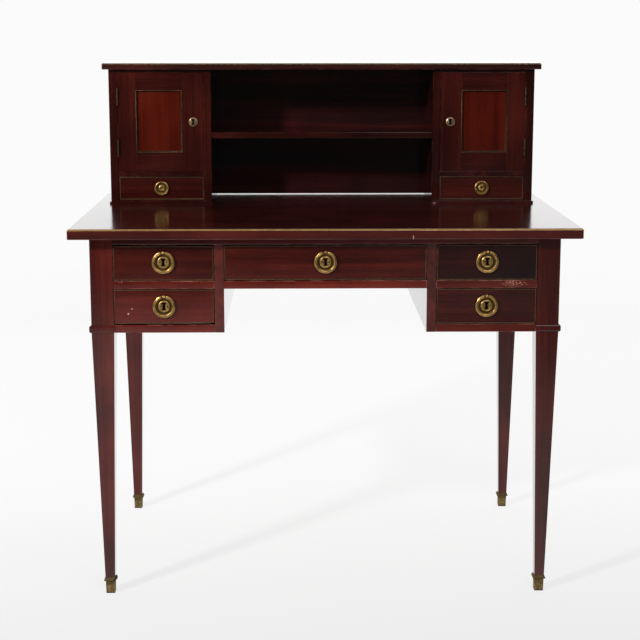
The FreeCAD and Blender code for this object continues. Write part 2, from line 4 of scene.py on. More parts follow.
import bmesh
import bpy
import numpy as np
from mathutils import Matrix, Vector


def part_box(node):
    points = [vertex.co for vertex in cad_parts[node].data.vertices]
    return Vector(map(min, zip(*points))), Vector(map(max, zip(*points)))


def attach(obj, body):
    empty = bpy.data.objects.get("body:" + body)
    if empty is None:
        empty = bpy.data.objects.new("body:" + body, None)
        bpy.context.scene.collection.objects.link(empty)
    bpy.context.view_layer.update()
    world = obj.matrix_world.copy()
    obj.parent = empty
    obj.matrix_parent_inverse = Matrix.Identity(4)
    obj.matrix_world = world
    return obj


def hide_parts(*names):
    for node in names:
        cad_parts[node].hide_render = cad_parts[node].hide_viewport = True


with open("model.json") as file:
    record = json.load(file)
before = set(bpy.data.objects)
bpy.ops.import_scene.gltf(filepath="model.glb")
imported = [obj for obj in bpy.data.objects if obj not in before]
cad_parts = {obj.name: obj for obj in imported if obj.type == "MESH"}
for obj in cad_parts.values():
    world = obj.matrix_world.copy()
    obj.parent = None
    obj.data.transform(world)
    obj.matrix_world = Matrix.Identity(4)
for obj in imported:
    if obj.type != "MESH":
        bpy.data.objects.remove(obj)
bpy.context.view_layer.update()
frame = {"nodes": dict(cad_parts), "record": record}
bodies = frame["record"]["behaviour"]["bodies"]
bodyOf = {node: body for body, members in bodies.items() for node in members}
largeDrawers = ("upper_left", "lower_left", "centre", "upper_right", "lower_right")
smallDrawers = ("small_left", "small_right")
drawers = largeDrawers + smallDrawers
doors = ("left", "right")
mm = 0.001


# Shader wires: a socket that takes part in Python arithmetic

class Wire:
    def __init__(self, tree, socket=None):
        self.tree = tree
        self.socket = socket

    # any node: its settings are set first, then its sockets get a number, a colour or a link
    def node(self, kind, sockets, out=0, **settings):
        made = self.tree.nodes.new(kind)
        for name, value in settings.items():
            setattr(made, name, value)
        for name, value in sockets.items():
            if isinstance(value, Wire):
                self.tree.links.new(value.socket, made.inputs[name])
            else:
                made.inputs[name].default_value = value
        return Wire(self.tree, made.outputs[out])

    def maths(self, operation, first, second):
        return self.node("ShaderNodeMath", {0: first, 1: second}, operation=operation)

    def __add__(self, other):
        return self.maths("ADD", self, other)

    def __radd__(self, other):
        return self.maths("ADD", other, self)

    def __sub__(self, other):
        return self.maths("SUBTRACT", self, other)

    def __rsub__(self, other):
        return self.maths("SUBTRACT", other, self)

    def __mul__(self, other):
        return self.maths("MULTIPLY", self, other)

    # 0 below low, 1 above high, with a soft step between
    def step(self, low, high):
        sockets = {"Value": self, "From Min": low, "From Max": high}
        return self.node("ShaderNodeMapRange", sockets, interpolation_type="SMOOTHSTEP")

    # the point on the object, the way that the surface looks, or the way that a ray of the world goes
    def coordinate(self, kind="Object"):
        return self.node("ShaderNodeTexCoord", {}, kind)

    # what an attribute of the mesh says
    def attribute(self, name, kind="Fac"):
        return self.node("ShaderNodeAttribute", {}, kind, attribute_name=name)

    def axis(self, letter):
        return self.node("ShaderNodeSeparateXYZ", {0: self}, letter)

    def stretched(self, x, y, z):
        return self.node("ShaderNodeVectorMath", {0: self, 1: (x, y, z)}, operation="MULTIPLY")

    def awayFrom(self, point):
        return self.node("ShaderNodeVectorMath", {0: self, 1: point}, operation="SUBTRACT")

    def length(self):
        return self.node("ShaderNodeVectorMath", {0: self}, "Value", operation="LENGTH")

    # smooth noise of about 0 to 1 on this vector
    def noise(self, scale, detail=2, roughness=0.5, distortion=0):
        sockets = {"Vector": self, "Scale": scale, "Detail": detail, "Roughness": roughness}
        return self.node("ShaderNodeTexNoise", {**sockets, "Distortion": distortion})

    # noise that a soft step cuts into patches
    def patches(self, scale, detail, roughness, low, high):
        return self.noise(scale, detail, roughness).step(low, high)

    # noise drawn out along the grain: how often it changes in a metre along it and across it
    def drawnOut(self, along, across, *more):
        return self.stretched(along, across, across).noise(1, *more)

    # this value runs through colours that lie at these places
    def ramp(self, places, colours):
        made = self.node("ShaderNodeValToRGB", {"Fac": self})
        stops = made.socket.node.color_ramp.elements
        while len(stops) < len(places):
            stops.new(1)
        for stop, place, colour in zip(stops, places, colours):
            stop.position = place
            stop.color = (*colour, 1)
        return made

    # this value chooses between two colours; the numbers are the Mix node's colour sockets
    def blend(self, first, second):
        colours = [c if isinstance(c, Wire) else (*c, 1) for c in (first, second)]
        return self.node("ShaderNodeMix", {0: self, 6: colours[0], 7: colours[1]}, 2, data_type="RGBA")

    # this value is a height that the light shows
    def bump(self, strength, distance):
        sockets = {"Strength": strength, "Distance": distance, "Height": self}
        return self.node("ShaderNodeBump", sockets)


def newMaterial(name):
    material = bpy.data.materials.new(name)
    material.use_nodes = True
    material.node_tree.nodes.clear()
    return material, Wire(material.node_tree)


def output(wire, shader, kind="ShaderNodeOutputMaterial"):
    made = wire.tree.nodes.new(kind)
    wire.tree.links.new(shader.socket, made.inputs["Surface"])


# Finishes: each kind says what goes into the sockets of a finish

mahoganyLook = {
    # drawn-out noises: along, across, detail, roughness, distortion
    "ribbon": (1.2, 20, 2, 0.5, 0.6),
    "stripe": (2.2, 90, 4, 0.62, 0.3),
    "streak": (7, 780),
    "pores": (95, 2400, 1),
    "shares": (0.46, 0.42, 0.1, 0.46),  # of ribbons, stripes, streaks and clouds in the tone
    "stops": (0.59, 0.72, 0.87),  # tones of the three colours of dark and of light wood
    "dark": ((0.006, 0.0013, 0.0011), (0.014, 0.0024, 0.0019), (0.034, 0.0052, 0.0037)),
    "light": ((0.058, 0.0062, 0.0038), (0.098, 0.0112, 0.007), (0.15, 0.0205, 0.012)),
    "worn": (0.33, 0.145, 0.098),
    "chip": (0.46, 0.25, 0.195),
    "pore": (0.006, 0.0018, 0.0015),
    "poreShare": 0.55,
    "coat": 1,
    "sideCoat": 0,  # how much more polish faces have that look to the left or right
    "coatRoughness": 0.06,
    "roughness": 0.26,
    "specular": 0,  # gloss of the wood under the polish
    "wear": 0.16,  # how far the arrises are rubbed pale; where it is high, as on the rails, the pale arrises also paint the highlight they catch
    "edge": 0,  # how much lighter faces are that look aside from this axis
    "edgeAxis": "Z",
    "dry": 0,  # how much lighter the unpolished wood is behind the desk
    "dryFrom": (0.312, 0.315),  # metres back from the desk's middle
    "dryPolish": 0.8,  # how much of the polish is missing there
    "marks": (),  # bare spots: (middle, reach, whether it breaks up into flakes)
}
wearLook = {
    # patches: scale, detail and roughness of the noise, and the step's ends
    "rubbedAndHighlit": (38, 3, 0.5, 0.42, 0.64),
    "chipped": (95, 2, 0.5, 0.71, 0.75),
    "flakes": (340, 2, 0.5, 0.53, 0.57),
    "flakeSquash": 1.6,
    "ragged": 1.6,  # how far a spot's outline wanders
    "raggedScale": 620,
    "spotEdge": (0.55, 0.9),
}


# ribbons, stripes, streaks and pores, each a noise drawn out along the grain; arrises rubbed paler in
# places, which on the rails is also a painted highlight where they catch the light; each mark is a small
# ellipsoid of bare wood
def mahogany(wire, look):
    place = wire.coordinate()
    grain = wire.attribute("grain", "Vector")
    shade = wire.attribute("shade")
    arris = wire.attribute("arris")
    ribbon = grain.drawnOut(*look["ribbon"])
    stripe = grain.drawnOut(*look["stripe"])
    streak = grain.drawnOut(*look["streak"])
    pores = grain.drawnOut(*look["pores"]).step(0.6, 0.72)
    cloud = place.noise(7, 3)
    ribbons, stripes, streaks, clouds = look["shares"]
    tone = ribbon * ribbons + stripe * stripes + streak * streaks + cloud * clouds
    if look["edge"]:
        facing = wire.coordinate("Normal").axis(look["edgeAxis"])
        shade = shade + (1 - facing * facing) * look["edge"]
    polished = look["coat"]
    if look["sideCoat"]:
        aside = wire.coordinate("Normal").axis("X")
        polished = polished + aside * aside * look["sideCoat"]
    if look["dry"]:
        behind = place.axis("Y").step(*look["dryFrom"])
        shade = shade + behind * look["dry"]
        polished = polished - behind * look["dryPolish"]
    dark = tone.ramp(look["stops"], look["dark"])
    light = tone.ramp(look["stops"], look["light"])
    wood = (pores * look["poreShare"]).blend(shade.blend(dark, light), look["pore"])
    # pale rubbed arrises: wear, and where the wear is high, as on the rails, also a painted highlight
    rubbedAndHighlit = arris * place.patches(*wearLook["rubbedAndHighlit"]) * look["wear"]
    wood = rubbedAndHighlit.blend(wood, look["worn"])
    chipped = arris * place.patches(*wearLook["chipped"]) * look["wear"]
    flakes = place.stretched(1, 1, wearLook["flakeSquash"]).patches(*wearLook["flakes"])
    ragged = (place.noise(wearLook["raggedScale"], 3) - 0.5) * wearLook["ragged"]
    for middle, reach, flaky in look["marks"]:
        away = place.awayFrom(middle).stretched(*(1 / r for r in reach)).length()
        spot = 1 - (away + ragged).step(*wearLook["spotEdge"])
        chipped = chipped + (spot * flakes if flaky else spot)
    chipped = chipped.step(0, 1)
    polish = place.noise(16, 3)
    return {
        "Base Color": chipped.blend(wood, look["chip"]),
        "Roughness": look["roughness"] + polish * 0.16 + rubbedAndHighlit * 0.2,
        "Coat Weight": (1 - rubbedAndHighlit * 0.5 - chipped * 0.5) * polished,
        "Coat Roughness": look["coatRoughness"],
        "Specular IOR Level": look["specular"],
        "Normal": (streak * 0.4 - pores * 0.6).bump(0.1, 0.4 * mm),
    }


brassLook = {
    # bright, mellow and olive
    "metal": ((0.62, 0.38, 0.128), (0.365, 0.214, 0.062), (0.12, 0.072, 0.019)),
    "dirt": (0.03, 0.016, 0.006),
    "mellowing": (0.36, 0.62),  # from which to which cloud the bright metal turns mellow
    "tarnishFrom": 0.54,
    "tarnishOver": 0.24,
    "dirtFrom": (0.8, 1.1),
    "roughness": 0.27,
    "metallic": 0.9,
    "coat": 0,
}


# bright where handled, and brighter where hollow is below 0 as a painted highlight; olive and dirty in
# the hollows, in places also as painted shade, and where the tarnish clouds lie
def agedBrass(wire, look):
    place = wire.coordinate()
    hollow = wire.attribute("hollow")
    cloud = place.noise(150, 4, 0.6)
    fleck = place.noise(900, 3, 0.6)
    fine = place.noise(2600, 2)
    bright, mellow, olive = look["metal"]
    metal = cloud.step(*look["mellowing"]).blend(bright, mellow)
    tarnish = cloud * 0.6 + fleck * 0.5 + hollow * 0.5
    tarnish = tarnish.step(look["tarnishFrom"], look["tarnishFrom"] + look["tarnishOver"])
    metal = (tarnish * 0.85).blend(metal, olive)
    dirt = (hollow + fleck * 0.5).step(*look["dirtFrom"])
    return {
        "Base Color": dirt.blend(metal, look["dirt"]),
        "Metallic": look["metallic"] - dirt * 0.25,
        "Coat Weight": look["coat"],
        "Roughness": look["roughness"] + tarnish * 0.22 + fine * 0.1,
        "Normal": (cloud * 0.5 + fine * 0.4).bump(0.11, 0.3 * mm),
    }


liningLook = {
    "rings": (1.6, 70, 3, 0.55, 0.4),  # drawn-out noises, as for mahogany
    "streak": (9, 620),
    "stops": (0.34, 0.52, 0.7),
    "wood": ((0.16, 0.092, 0.045), (0.3, 0.19, 0.098), (0.42, 0.29, 0.165)),
    "grime": (0.075, 0.046, 0.026),
    "grimy": (11, 4, 0.6, 0.5, 0.78),  # patches, as for wear
}


# plain straight-grained drawer wood, unpolished, with handled and dusty patches
def liningWood(wire, look):
    place = wire.coordinate()
    grain = wire.attribute("grain", "Vector")
    rings = grain.drawnOut(*look["rings"])
    streak = grain.drawnOut(*look["streak"])
    wood = (rings * 0.65 + streak * 0.35).ramp(look["stops"], look["wood"])
    grime = place.patches(*look["grimy"])
    return {
        "Base Color": (grime * 0.6).blend(wood, look["grime"]),
        "Roughness": 0.58 + grime * 0.2,
        "Normal": streak.bump(0.22, 0.4 * mm),
    }


ironLooks = {
    "iron": {"steel": (0.105, 0.098, 0.09), "rust": (0.075, 0.032, 0.016)},
    # near black: painted shadow for the plates behind the keyholes
    "throatPaintedShadow": {"steel": (0.004, 0.0035, 0.003), "rust": (0.003, 0.0022, 0.0018)},
}


# dull steel of the locks, browned in patches
def lockIron(wire, look):
    place = wire.coordinate()
    rust = place.patches(210, 4, 0.65, 0.5, 0.68)
    fine = place.noise(1500, 2)
    return {
        "Base Color": rust.blend(look["steel"], look["rust"]),
        "Metallic": 0.95 - rust * 0.65,
        "Roughness": 0.38 + rust * 0.3 + fine * 0.08,
        "Normal": (fine + rust).bump(0.25, 0.3 * mm),
    }


# what each wood changes in mahoganyLook
woodLooks = {
    "mahogany": {},
    "railMahogany": {
        # high wear: the rails' pale arrises are partly a painted highlight
        "wear": 0.75,
        "chip": (0.33, 0.12, 0.085),
        "marks": (
            ((0.373, -0.295, 0.6455), (0.032, 0.006, 0.0085), True),
            # this mark and the next, long and thin along the left middle rail's top arris, are chips and
            # also a painted highlight that the arris catches
            ((-0.404, -0.295, 0.652), (0.018, 0.006, 0.003), True),
            ((-0.262, -0.295, 0.652), (0.055, 0.006, 0.002), True),
            ((-0.345, -0.295, 0.637), (0.002, 0.003, 0.002), False),
        ),
    },
    "drawerMahogany": {
        "marks": (
            ((-0.3905, -0.295, 0.5871), (0.0022, 0.003, 0.0025), False),
            ((-0.3829, -0.295, 0.5969), (0.002, 0.003, 0.0015), False),
            ((0.4181, -0.295, 0.5655), (0.0025, 0.003, 0.0025), False),
        ),
    },
    "topMahogany": {
        "coatRoughness": 0.165,
        "edge": 0.34,
        "chip": (0.36, 0.19, 0.145),
        "marks": (
            ((0.17, -0.332, 0.743), (0.0014, 0.003, 0.006), False),
            ((0.144, -0.327, 0.76), (0.002, 0.003, 0.002), False),
            ((0.1622, -0.318, 0.76), (0.002, 0.003, 0.002), False),
        ),
    },
    "caseMahogany": {
        "marks": (
            ((0.25, 0.1115, 0.7615), (0.012, 0.004, 0.002), False),
            ((0.2405, 0.25, 0.775), (0.003, 0.012, 0.003), True),
            ((0.2405, 0.17, 0.77), (0.003, 0.012, 0.003), True),
        ),
    },
    "endMahogany": {"edge": 0.42, "edgeAxis": "Y"},
    "fadedMahogany": {
        "dark": ((0.012, 0.005, 0.0042), (0.022, 0.0075, 0.0062), (0.045, 0.013, 0.0105)),
    },
    "kneeMahogany": {"specular": 0.3},
    "legMahogany": {"coat": 0.42, "sideCoat": 0.58, "roughness": 0.02, "specular": 0.21},
    "backLegMahogany": {"coat": 0.28, "sideCoat": 0.72, "roughness": 0.02, "specular": 0.21},
    "backMahogany": {
        "dark": ((0.011, 0.004, 0.0043), (0.02, 0.0046, 0.0046), (0.042, 0.0068, 0.006)),
        "dry": 0.35,
    },
    "panelMahogany": {
        "dark": ((0.036, 0.0026, 0.0009), (0.056, 0.0042, 0.0014), (0.08, 0.007, 0.0022)),
        "light": ((0.05, 0.004, 0.0013), (0.085, 0.0075, 0.0024), (0.13, 0.015, 0.0045)),
    },
}
# and each brass in brassLook
dullBrass = {"tarnishFrom": 0.48, "roughness": 0.34}
brassLooks = {
    "brass": {},
    # paler and less golden than the other brass: partly a painted sheen for the key light's highlight on
    # the door plates
    "plateBrassAndSheen": {
        "metal": ((0.76, 0.555, 0.33), (0.49, 0.345, 0.19), (0.13, 0.088, 0.043)),
    },
    "stripBrass": {
        "metal": ((0.33, 0.186, 0.057), (0.25, 0.131, 0.037), (0.135, 0.073, 0.021)),
        "tarnishFrom": 0.6,
        "metallic": 0.45,
        "coat": 0.4,
    },
    "wornBrass": {
        "metal": ((0.2, 0.14, 0.065), (0.07, 0.044, 0.026), (0.032, 0.018, 0.012)),
        "tarnishFrom": 0.47,
        "metallic": 0.5,
    },
    "beadBrass": {
        **dullBrass,
        "metal": ((0.165, 0.098, 0.05), (0.12, 0.07, 0.036), (0.075, 0.043, 0.022)),
    },
    "mouldingBrass": {
        **dullBrass,
        "metal": ((0.105, 0.055, 0.028), (0.07, 0.035, 0.017), (0.038, 0.018, 0.009)),
    },
    "hingeBrass": {
        **dullBrass,
        "metal": ((0.11, 0.07, 0.04), (0.062, 0.037, 0.021), (0.03, 0.017, 0.01)),
    },
    "toeBrass": {
        "metal": ((0.24, 0.162, 0.062), (0.175, 0.115, 0.042), (0.088, 0.06, 0.02)),
        "tarnishFrom": 0.48,
        "roughness": 0.48,
        "metallic": 0.75,
    },
}
finishes = {}  # by name: (material, slot of the record)


def addFinish(name, slot, kind, look):
    material, wire = newMaterial(name)
    output(wire, wire.node("ShaderNodeBsdfPrincipled", kind(wire, look)))
    finishes[name] = (material, slot)


for name, changes in woodLooks.items():
    slot = "panel_mahogany" if name == "panelMahogany" else "mahogany"
    addFinish(name, slot, mahogany, {**mahoganyLook, **changes})
for name, changes in brassLooks.items():
    addFinish(name, "brass", agedBrass, {**brassLook, **changes})
for name, look in ironLooks.items():
    addFinish(name, "iron", lockIron, look)
addFinish("lining", "lining", liningWood, liningLook)
print("finishes made:", ", ".join(finishes))


# Pieces: how a mesh becomes a piece that rides on a body

def meshPoints(mesh):
    place = np.empty(len(mesh.vertices) * 3)
    mesh.vertices.foreach_get("co", place)
    return place.reshape(-1, 3)


# a number or a vector for each point
def setAttribute(mesh, name, values):
    kind, field = ("FLOAT_VECTOR", "vector") if values.ndim == 2 else ("FLOAT", "value")
    mesh.attributes.new(name, kind, "POINT").data.foreach_set(field, values.astype(np.float32).ravel())


def nodePoints(node):
    return meshPoints(frame["nodes"][node].data)


def nodeBox(node):
    return [np.array(corner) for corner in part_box(node)]


def boxMiddle(points):
    return (points.min(axis=0) + points.max(axis=0)) / 2


def addObject(name, data):
    made = bpy.data.objects.new(name, data)
    bpy.context.scene.collection.objects.link(made)
    return made


# a piece rides on the node's body, and may take the node's place
def addPiece(mesh, name, finish, node, replaced=False):
    piece = addObject(name, mesh)
    material, slot = finishes[finish]
    mesh.materials.append(material)
    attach(piece, bodyOf[node])
    if replaced:
        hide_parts(node)
    return piece


def finishMesh(shape, mesh, sharpAngle):
    shape.to_mesh(mesh)
    shape.free()
    mesh.shade_smooth()
    mesh.set_sharp_from_angle(angle=math.radians(sharpAngle))


# a grid of points in rows; hollow is 1 where dirt gathers; in a few places it also paints shade, and
# below 0 it paints a highlight; closed joins the last row to the first
def gridOf(x, y, z, hollow=0, closed=False):
    return np.stack(np.broadcast_arrays(x, y, z), axis=-1), closed, hollow


meshLook = {"weld": 1e-7, "sharp": 40}  # metres between points that are one, and degrees of a sharp edge


# several grids become one mesh: neighbours form quads, and each row joins its last point to its first
def gridMesh(name, grids, sharpAngle=meshLook["sharp"]):
    points, quads, hollow = [], [], []
    for place, closed, dirt in grids:
        index = np.arange(place[..., 0].size).reshape(place.shape[:2]) + sum(map(len, points))
        if closed:
            index = np.vstack([index, index[:1]])
        index = np.hstack([index, index[:, :1]])
        corners = (index[:-1, :-1], index[1:, :-1], index[1:, 1:], index[:-1, 1:])
        quads.append(np.stack(corners, axis=-1).reshape(-1, 4))
        points.append(place.reshape(-1, 3))
        hollow.append(np.broadcast_to(dirt, place.shape[:2]).ravel())
    mesh = bpy.data.meshes.new(name)
    mesh.from_pydata(np.concatenate(points).tolist(), [], np.concatenate(quads).tolist())
    setAttribute(mesh, "hollow", np.concatenate(hollow))
    shape = bmesh.new()
    shape.from_mesh(mesh)
    bmesh.ops.remove_doubles(shape, verts=shape.verts, dist=meshLook["weld"])
    bmesh.ops.dissolve_degenerate(shape, edges=shape.edges, dist=meshLook["weld"])
    bmesh.ops.recalc_face_normals(shape, faces=shape.faces)
    finishMesh(shape, mesh, sharpAngle)
    return mesh


def gridPiece(name, grids, finish, node, replaced=False, sharpAngle=meshLook["sharp"]):
    addPiece(gridMesh(name, grids, sharpAngle), name, finish, node, replaced)


def fullTurn(count):
    return np.linspace(0, 2 * math.pi, count, endpoint=False)


# Wooden boards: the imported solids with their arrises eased, and the grain laid along each board

boardLook = {
    "arris": 0.6 * mm,
    "segments": 2,
    "railArris": 0.9 * mm,
    "topArris": 0.3 * mm,
    "leafArris": 0.15 * mm,
    "boltArris": 0.2 * mm,
    "lockArris": 0.3 * mm,
    "shortest": 6,  # edges shorter than this many arris widths stay sharp
    "underside": 1.4 * mm,
    "undersideSegments": 4,
    "sharp": 35,  # degrees from which an edge is sharp
    "flat": 0.4,  # degrees up to which faces are one
    "same": 0.001 * mm,  # grid on which triangles share their corners
    "touch": 0.01 * mm,  # how near a point on a face is to it
    "past": 0.1 * mm,  # how far a point in front of a face is from it
    "shift": 3,  # metres up to which a board's grain is moved on
    "seed": 11,
}
# how light each board is; several are a node's boards from left to right, and from the lowest up
boardShade = {
    "upper_right_drawer_front": 0.02,
    "lower_right_drawer_front": 0.19,
    "upper_left_drawer_front": 0.29,
    "lower_left_drawer_front": 0.84,
    "centre_drawer_front": 0.41,
    "small_left_drawer_front": 0.31,
    "small_right_drawer_front": 0.2,
    "left_door_frame": (0.3, 0.15, 0.23, 0.26),
    "right_door_frame": (0.24, 0.19, 0.2, 0.25),
    "left_door_panel": 0.36,
    "right_door_panel": 0.24,
    "table_top": 0.15,
    "gallery_top": 0.12,
    "gallery_back": 0.08,
    "gallery_shelf": 0.1,
    "gallery_ends": (0.14, 0.06),
    "gallery_partitions": (0.19, 0.08),
    "cupboard_boards": 0.16,
    "kneehole_panels": (0.72, 0.55),
    "front_rails": (0.95, 1, 1, 0.6, 0.7, 0.62),
    "front_legs": (0.57, 0.42),
    "back_legs": (0.76, 0.74),
    "end_panels": (0.6, 0.45),
    "desk_back": 0.4,
}
# how far a drawer front has shrunk from its opening at its foot and at its head, and how much higher the
# foot is at its right end than at its left, in mm
shrunkFronts = {
    "upper_left": (0, 1.3, 0),
    "lower_left": (2.1, 0, 2),
    "centre": (0.7, 0.5, 0),
    "upper_right": (0, 0.4, 0),
}
tightFront = (0, 0, 0)
random = np.random.default_rng(boardLook["seed"])


# a node's loose triangles joined into solids: triangles follow each other solid by solid, and a solid
# ends with the triangle that pairs off its last open edge; points are shared only within a solid
def nodeSolids(node):
    mesh = frame["nodes"][node].data
    corners = np.empty(len(mesh.loops), dtype=int)
    mesh.loops.foreach_get("vertex_index", corners)
    place = nodePoints(node)[corners]
    spots = np.unique((place / boardLook["same"]).round().astype(int), axis=0, return_inverse=True)[1]
    waiting = set()
    solid = 0
    owner = []
    for a, b, c in spots.reshape(-1, 3).tolist():
        around = ((a, b), (b, c), (c, a))
        fresh = {pair for pair in around if pair[::-1] not in waiting}
        waiting = (waiting | fresh) - {pair[::-1] for pair in around}
        owner += [solid] * 3
        if not waiting:
            solid += 1
    keys = np.column_stack([owner, spots.ravel()])
    first, merged = np.unique(keys, axis=0, return_index=True, return_inverse=True)[1:]
    joined = bpy.data.meshes.new(node + "_joined")
    joined.from_pydata(place[first].tolist(), [], merged.reshape(-1, 3).tolist())
    return joined


# which loose solid each vertex belongs to, by spreading from one vertex over its edges
def islands(shape):
    layer = shape.verts.layers.int.new("island")
    count = 0
    for first in shape.verts:
        waiting = [] if first[layer] else [first]
        count += len(waiting)
        while waiting:
            vertex = waiting.pop()
            vertex[layer] = count
            others = [edge.other_vert(vertex) for edge in vertex.link_edges]
            waiting += [other for other in others if not other[layer]]
    return count


# grain is the place with its first axis along the board, moved on by a chance amount for each board
def layGrain(mesh, count, shade):
    place = meshPoints(mesh)
    island = np.empty(len(mesh.vertices), dtype=int)
    mesh.attributes["island"].data.foreach_get("value", island)
    grain = np.zeros_like(place)
    tone = np.zeros(len(place))
    middles = [place[island == board].mean(axis=0).round(2) for board in range(1, count + 1)]
    ranked = sorted(range(count), key=lambda board: (middles[board][0], middles[board][2]))
    for board in range(1, count + 1):
        mine = island == board
        longest = int(np.argmax(np.ptp(place[mine], axis=0)))
        order = [longest, (longest + 1) % 3, (longest + 2) % 3]
        grain[mine] = place[mine][:, order] + random.uniform(0, boardLook["shift"], 3)
        tone[mine] = shade[ranked.index(board - 1)] if isinstance(shade, tuple) else shade
    setAttribute(mesh, "grain", grain)
    setAttribute(mesh, "shade", tone)


def sharpEdges(shape):
    limit = math.radians(boardLook["sharp"])
    return [e for e in shape.edges if e.is_manifold and e.is_convex and e.calc_face_angle() > limit]


def roundEdges(shape, edges, width, segments):
    settings = {"segments": segments, "profile": 0.5, "affect": "EDGES", "clamp_overlap": True}
    return bmesh.ops.bevel(shape, geom=edges, offset=width, offset_type="OFFSET", **settings)["faces"]


# the front edge of a shrunken drawer front's foot moves up, more towards the right where it leans, and
# the whole head moves down
def shrink(shape, node):
    foot, head, lean = shrunkFronts.get(node.replace("_drawer_front", ""), tightFront)
    low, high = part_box(node)
    touch = boardLook["touch"]
    for vertex in shape.verts:
        if vertex.co.z < low[2] + touch and vertex.co.y < low[1] + touch:
            share = (vertex.co.x - low[0]) / (high[0] - low[0]) - 0.5
            vertex.co.z += (foot + lean * share) * mm
        elif vertex.co.z > high[2] - touch:
            vertex.co.z -= head * mm


# the underside's outline is rounded more than the rest where underside is given; behind takes only the
# solids that lie wholly behind that face
def easedCopy(node, name, width, underside, behind):
    shape = bmesh.new()
    joined = nodeSolids(node)
    shape.from_mesh(joined)
    bpy.data.meshes.remove(joined)
    flat = math.radians(boardLook["flat"])
    bmesh.ops.dissolve_limit(shape, angle_limit=flat, verts=shape.verts, edges=shape.edges)
    shrink(shape, node)
    if behind is not None:
        islands(shape)
        layer = shape.verts.layers.int["island"]
        ahead = {v[layer] for v in shape.verts if v.co.y < behind - boardLook["past"]}
        spare = [v for v in shape.verts if v[layer] in ahead]
        bmesh.ops.delete(shape, geom=spare, context="VERTS")
        shape.verts.layers.int.remove(layer)
    eased = []
    if underside:
        lowest = min(v.co.z for v in shape.verts) + boardLook["touch"]
        outline = [e for e in sharpEdges(shape) if all(v.co.z < lowest for v in e.verts)]
        eased += roundEdges(shape, outline, underside, boardLook["undersideSegments"])
    longer = [e for e in sharpEdges(shape) if e.calc_length() > boardLook["shortest"] * width]
    eased += roundEdges(shape, longer, width, boardLook["segments"])
    arris = shape.loops.layers.float.new("arris")
    for face in eased:
        if face.is_valid:
            for loop in face.loops:
                loop[arris] = 1
    count = islands(shape)
    mesh = bpy.data.meshes.new(name)
    finishMesh(shape, mesh, boardLook["sharp"])
    return mesh, count


def easedPiece(node, finish, arris="arris", underside=0, behind=None, name=None):
    name = name or node + "_eased"
    mesh, count = easedCopy(node, name, boardLook[arris], underside, behind)
    layGrain(mesh, count, boardShade.get(node, 0))
    piece = addPiece(mesh, name, finish, node, True)
    shading = piece.modifiers.new("evenShading", "WEIGHTED_NORMAL")
    shading.keep_sharp = True


woodFinish = {
    "front_legs": "legMahogany",
    "back_legs": "backLegMahogany",
    "end_panels": "mahogany",
    "kneehole_panels": "kneeMahogany",
    "desk_back": "backMahogany",
    "drawer_runners": "lining",
    "gallery_ends": "endMahogany",
    "gallery_partitions": "caseMahogany",
    "gallery_back": "backMahogany",
    "gallery_shelf": "mahogany",
}
for node, finish in woodFinish.items():
    easedPiece(node, finish)
easedPiece("cupboard_boards", "caseMahogany", "topArris")
easedPiece("front_rails", "railMahogany", "railArris")
easedPiece("table_top", "topMahogany", "topArris", boardLook["underside"])
easedPiece("gallery_top", "fadedMahogany", "topArris", boardLook["underside"])
for drawer in drawers:
    easedPiece(drawer + "_drawer_front", "drawerMahogany")
    easedPiece(drawer + "_drawer_box", "lining")
for door in doors:
    easedPiece(door + "_door_frame", "mahogany", "topArris")
    easedPiece(door + "_door_panel", "panelMahogany")
    easedPiece(door + "_door_hinge_leaves", "hingeBrass", "leafArris")
    easedPiece(door + "_door_bolt", "iron", "boltArris")
for drawer in largeDrawers:
    easedPiece(drawer + "_drawer_bolt", "iron", "boltArris")
easedPiece("hinge_end_leaves", "hingeBrass", "leafArris")
print("boards eased")


# Brass strips in the top arrises of the two tops

# width, depth and plan corner as their rebates have them, in mm
stripLook = {"width": 3.5, "depth": 3, "round": 4.2, "corner": 4, "points": 9}


# a rebate's section with a round outside is carried along the left end, the front and the right end;
# every point is its corner's middle plus an arm that the inset shortens, and both ends close on the
# section's middle
def stripGrid(low, high):
    width, depth, bowed = stripLook["width"], stripLook["depth"], stripLook["round"]
    count = stripLook["points"]
    bow = np.linspace(math.asin(1 - depth / bowed), math.acos(1 - width / bowed), count)
    inset = np.concatenate([[width], bowed * (1 - np.cos(bow))])
    drop = np.concatenate([[depth], bowed * (1 - np.sin(bow))])
    turn = np.radians(np.concatenate([[180, 180], np.linspace(180, 270, count)]))
    turn = np.concatenate([turn, math.pi - turn[::-1]])[:, None]
    corner = stripLook["corner"] * mm
    back = np.array([1, 1] + [0] * count)
    back = np.concatenate([back, back[::-1]])[:, None]
    right = np.repeat([0, 1], count + 2)[:, None]
    full = np.array([0] + [1] * 2 * (count + 1) + [0])[:, None]
    arm = corner - (width / 2 + full * (inset - width / 2)) * mm
    x = np.where(right, high[0] - corner, low[0] + corner) + arm * np.cos(turn)
    y = np.where(back, high[1], low[1] + corner) + arm * np.sin(turn)
    z = high[2] - (depth / 2 + full * (drop - depth / 2)) * mm
    return gridOf(x, y, z)


for top, finish in (("table", "stripBrass"), ("gallery", "wornBrass")):
    gridPiece(top + "_strip", [stripGrid(*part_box(top + "_top"))], finish, "edge_strips", True)
print("strips let in")


# Brass: keyhole plates, ring pulls, toe caps, beads and mouldings

def cross(first, second):
    return first[..., 0] * second[..., 1] - first[..., 1] * second[..., 0]


